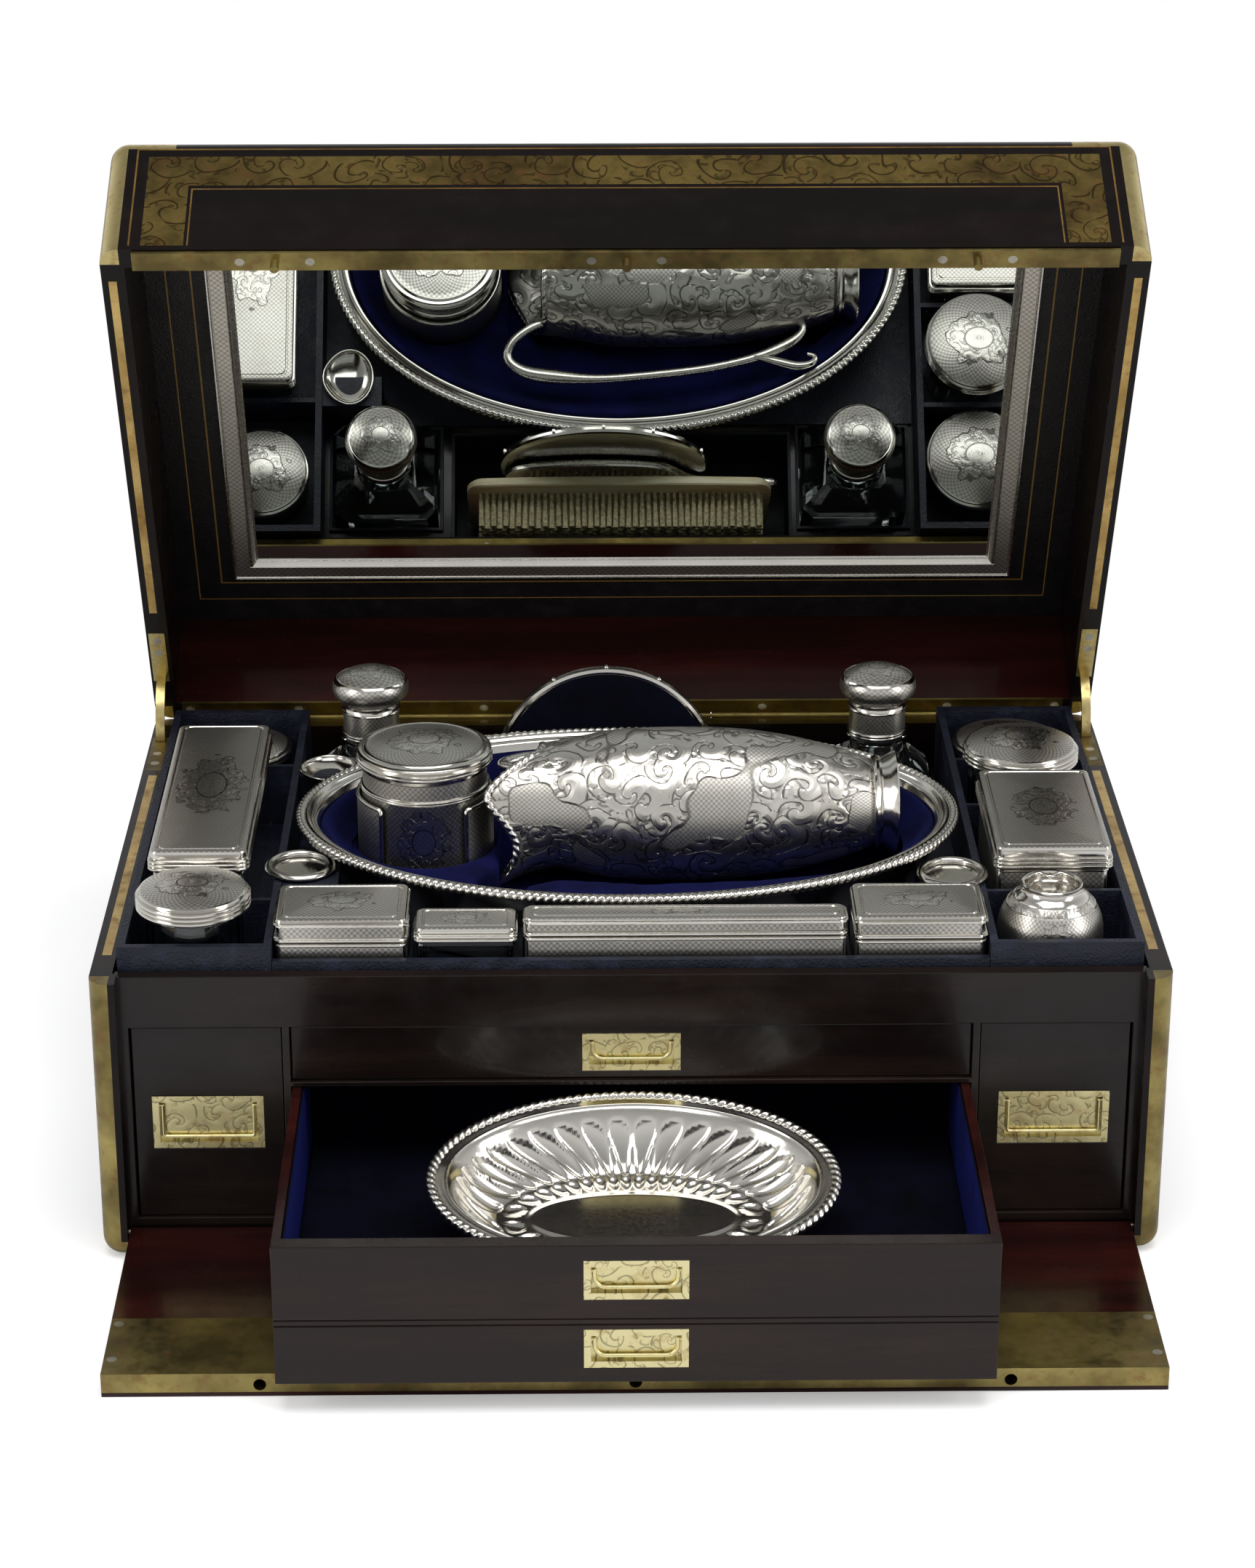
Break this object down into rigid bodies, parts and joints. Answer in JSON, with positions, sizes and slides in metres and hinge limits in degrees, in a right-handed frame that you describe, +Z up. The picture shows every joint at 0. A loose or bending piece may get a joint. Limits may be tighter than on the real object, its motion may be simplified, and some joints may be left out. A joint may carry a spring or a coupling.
{
  "type": "fitted dressing box",
  "caption": "Hinged travelling dressing box with lid mirror, drop front, drawers, leather trays and lift-out silver and glass toilet pieces.",
  "frame": {"origin": "centre of the underside of the case, lid open, drop front lying flat, centre drawer pulled out", "axes": "+X to the right along the front, +Y to the back, +Z up"},
  "size_m": [0.48, 0.5184, 0.4543],
  "materials": {
    "wood": "polished coromandel veneer",
    "brass": "polished",
    "silver": "engine-turned silver",
    "leather": "grained blue-black",
    "velvet": "velvet",
    "glass": "clear cut glass",
    "mirror": "bevelled mirror",
    "ivory": "bone",
    "lining": "dark tooled leather"
  },
  "bodies": {
    "case": {"carcase": "wood", "drawer_frame": "wood", "left_tray": "leather", "right_tray": "leather", "front_tray": "leather", "back_wells": "leather", "base_corner_bindings": "brass", "hinge_base_leaf": "brass", "stay_sockets": "brass", "base_screws": "brass", "rings_and_scoop": "silver"},
    "lid": {"lid_shell": "wood", "lid_corner_bindings": "brass", "lid_lining": "lining", "mirror_frame": "silver", "mirror_glass": "mirror", "lid_front_rail": "brass", "hinge_lid_leaf": "brass", "stay_arms": "brass", "lid_screws": "brass"},
    "drop_front": {"fall_front_panel": "wood", "fall_front_plate": "brass", "fall_front_fittings": "brass"},
    "left_drawer_unit": {"left_drawer": "wood", "left_plate": "brass"},
    "right_drawer_unit": {"right_drawer": "wood", "right_plate": "brass"},
    "top_drawer_unit": {"top_drawer": "wood", "top_plate": "brass"},
    "centre_drawer_unit": {"centre_drawer": "wood", "centre_plates": "brass", "dish_cradle": "velvet"},
    "left_handle": {"left_bail": "brass"},
    "right_handle": {"right_bail": "brass"},
    "top_handle": {"top_bail": "brass"},
    "upper_handle": {"upper_bail": "brass"},
    "lower_handle": {"lower_bail": "brass"},
    "basin_unit": {"basin": "silver"},
    "insert_unit": {"velvet_insert": "velvet", "mug_sleeve": "silver"},
    "mug_unit": {"mug": "silver"},
    "mug_lid_unit": {"mug_lid": "silver"},
    "jug_unit": {"jug": "silver"},
    "dish_unit": {"dish": "silver"},
    "hand_mirror_unit": {"hand_mirror": "velvet"},
    "hair_brush_unit": {"hair_brush": "silver"},
    "clothes_brush_unit": {"clothes_brush": "ivory"},
    "left_bottle_unit": {"left_bottle": "glass"},
    "right_bottle_unit": {"right_bottle": "glass"},
    "oblong_jar_unit": {"oblong_jar": "glass"},
    "oblong_jar_lid_unit": {"oblong_jar_lid": "silver"},
    "round_jar_left_unit": {"round_jar_left": "silver"},
    "round_jar_right_unit": {"round_jar_right": "silver"},
    "square_box_unit": {"square_box": "silver"},
    "pot_unit": {"pot": "silver"},
    "domed_box_left_unit": {"domed_box_left": "silver"},
    "glass_box_unit": {"glass_box": "glass"},
    "long_box_unit": {"long_box": "silver"},
    "domed_box_right_unit": {"domed_box_right": "silver"},
    "back_jars_unit": {"back_jars": "glass"}
  },
  "joints": [
    {"name": "lid_hinge", "type": "hinge", "parent": "case", "child": "lid", "pos_m": [0, 0.158, 0.1382], "axis": [-1, 0, 0], "range_deg": [-64, 0]},
    {"name": "drop_front_hinge", "type": "hinge", "parent": "case", "child": "drop_front", "pos_m": [0, -0.149, 0.009], "axis": [1, 0, 0], "range_deg": [-1.2, 0]},
    {"name": "left_drawer_slide", "type": "slide", "parent": "case", "child": "left_drawer_unit", "axis": [0, -1, 0], "range_m": [0, 0.14]},
    {"name": "right_drawer_slide", "type": "slide", "parent": "case", "child": "right_drawer_unit", "axis": [0, -1, 0], "range_m": [0, 0.14]},
    {"name": "top_drawer_slide", "type": "slide", "parent": "case", "child": "top_drawer_unit", "axis": [0, 1, 0], "range_m": [-0.12, 0]},
    {"name": "centre_drawer_slide", "type": "slide", "parent": "case", "child": "centre_drawer_unit", "axis": [0, -1, 0], "range_m": [-0.147, 0]},
    {"name": "left_handle_hinge", "type": "hinge", "parent": "left_drawer_unit", "child": "left_handle", "pos_m": [-0.1905, -0.1431, 0.0706], "axis": [-1, 0, 0], "range_deg": [0, 85]},
    {"name": "right_handle_hinge", "type": "hinge", "parent": "right_drawer_unit", "child": "right_handle", "pos_m": [0.1905, -0.1431, 0.0706], "axis": [-1, 0, 0], "range_deg": [0, 85]},
    {"name": "top_handle_hinge", "type": "hinge", "parent": "top_drawer_unit", "child": "top_handle", "pos_m": [0, -0.1431, 0.1008], "axis": [-1, 0, 0], "range_deg": [0, 85]},
    {"name": "upper_handle_hinge", "type": "hinge", "parent": "centre_drawer_unit", "child": "upper_handle", "pos_m": [0, -0.2901, 0.06845], "axis": [-1, 0, 0], "range_deg": [0, 85]},
    {"name": "lower_handle_hinge", "type": "hinge", "parent": "centre_drawer_unit", "child": "lower_handle", "pos_m": [0, -0.2901, 0.0356], "axis": [-1, 0, 0], "range_deg": [0, 85]},
    {"name": "basin_lift", "type": "slide", "parent": "case", "child": "basin_unit", "axis": [0, 0, 1], "range_m": [0, 0.08]},
    {"name": "insert_lift", "type": "slide", "parent": "basin_unit", "child": "insert_unit", "axis": [0, 0, 1], "range_m": [0, 0.04]},
    {"name": "mug_lift", "type": "slide", "parent": "insert_unit", "child": "mug_unit", "axis": [0, 0, 1], "range_m": [0, 0.05]},
    {"name": "mug_lid_lift", "type": "slide", "parent": "mug_unit", "child": "mug_lid_unit", "axis": [0, 0, 1], "range_m": [0, 0.03]},
    {"name": "jug_lift", "type": "slide", "parent": "insert_unit", "child": "jug_unit", "axis": [0, 0, 1], "range_m": [0, 0.06]},
    {"name": "dish_lift", "type": "slide", "parent": "centre_drawer_unit", "child": "dish_unit", "axis": [0, 0, 1], "range_m": [0, 0.08]},
    {"name": "hand_mirror_lift", "type": "slide", "parent": "case", "child": "hand_mirror_unit", "axis": [0, 0, 1], "range_m": [0, 0.1]},
    {"name": "hair_brush_lift", "type": "slide", "parent": "case", "child": "hair_brush_unit", "axis": [0, 0, 1], "range_m": [0, 0.1]},
    {"name": "clothes_brush_lift", "type": "slide", "parent": "case", "child": "clothes_brush_unit", "axis": [0, 0, 1], "range_m": [0, 0.1]},
    {"name": "left_bottle_lift", "type": "slide", "parent": "case", "child": "left_bottle_unit", "axis": [0, 0, 1], "range_m": [0, 0.1]},
    {"name": "right_bottle_lift", "type": "slide", "parent": "case", "child": "right_bottle_unit", "axis": [0, 0, 1], "range_m": [0, 0.1]},
    {"name": "oblong_jar_lift", "type": "slide", "parent": "case", "child": "oblong_jar_unit", "axis": [0, 0, 1], "range_m": [0, 0.09]},
    {"name": "oblong_jar_lid_lift", "type": "slide", "parent": "oblong_jar_unit", "child": "oblong_jar_lid_unit", "axis": [0, 0, 1], "range_m": [0, 0.04]},
    {"name": "round_jar_left_lift", "type": "slide", "parent": "case", "child": "round_jar_left_unit", "axis": [0, 0, 1], "range_m": [0, 0.1]},
    {"name": "round_jar_right_lift", "type": "slide", "parent": "case", "child": "round_jar_right_unit", "axis": [0, 0, 1], "range_m": [0, 0.1]},
    {"name": "square_box_lift", "type": "slide", "parent": "case", "child": "square_box_unit", "axis": [0, 0, 1], "range_m": [0, 0.1]},
    {"name": "pot_lift", "type": "slide", "parent": "case", "child": "pot_unit", "axis": [0, 0, 1], "range_m": [0, 0.1]},
    {"name": "domed_box_left_lift", "type": "slide", "parent": "case", "child": "domed_box_left_unit", "axis": [0, 0, 1], "range_m": [0, 0.08]},
    {"name": "glass_box_lift", "type": "slide", "parent": "case", "child": "glass_box_unit", "axis": [0, 0, 1], "range_m": [0, 0.08]},
    {"name": "long_box_lift", "type": "slide", "parent": "case", "child": "long_box_unit", "axis": [0, 0, 1], "range_m": [0, 0.08]},
    {"name": "domed_box_right_lift", "type": "slide", "parent": "case", "child": "domed_box_right_unit", "axis": [0, 0, 1], "range_m": [0, 0.08]},
    {"name": "back_jars_lift", "type": "slide", "parent": "case", "child": "back_jars_unit", "axis": [0, 0, 1], "range_m": [0, 0.1]}
  ]
}
